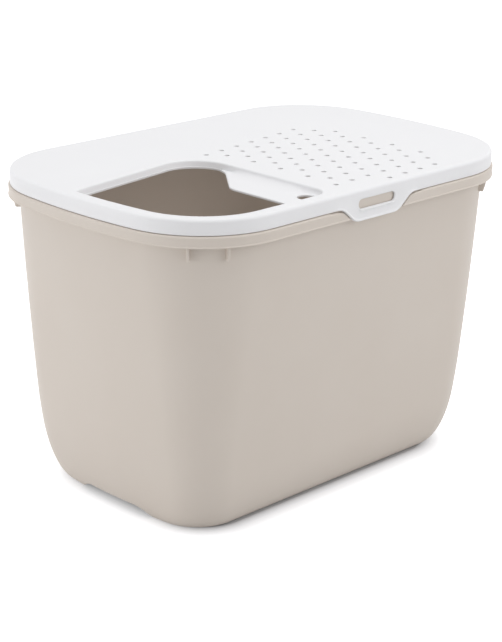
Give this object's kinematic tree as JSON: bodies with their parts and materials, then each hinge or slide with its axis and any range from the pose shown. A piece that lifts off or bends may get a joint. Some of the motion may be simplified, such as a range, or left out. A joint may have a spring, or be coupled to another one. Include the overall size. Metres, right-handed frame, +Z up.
{
  "type": "top entry litter box",
  "caption": "Deep drafted tub with a stepped rim, and a lid that drops over it, with an entry opening in a sunk tray, litter-catching holes and slotted pull tabs.",
  "frame": {"origin": "centre of the footprint, on the floor", "axes": "+X along the length, away from the entry opening; +Y towards the long side that is behind the opening; +Z up"},
  "size_m": [0.5884, 0.3934, 0.3925],
  "materials": {
    "tub_plastic": "satin moulded polypropylene, warm light grey",
    "lid_plastic": "satin moulded polypropylene, white"
  },
  "bodies": {
    "tub": {"tub": "tub_plastic"},
    "lid": {"lid": "lid_plastic"}
  },
  "joints": [
    {"name": "lid_lift", "type": "slide", "parent": "tub", "child": "lid", "axis": [0, 0, 1], "range_m": [0, 0.1]}
  ]
}
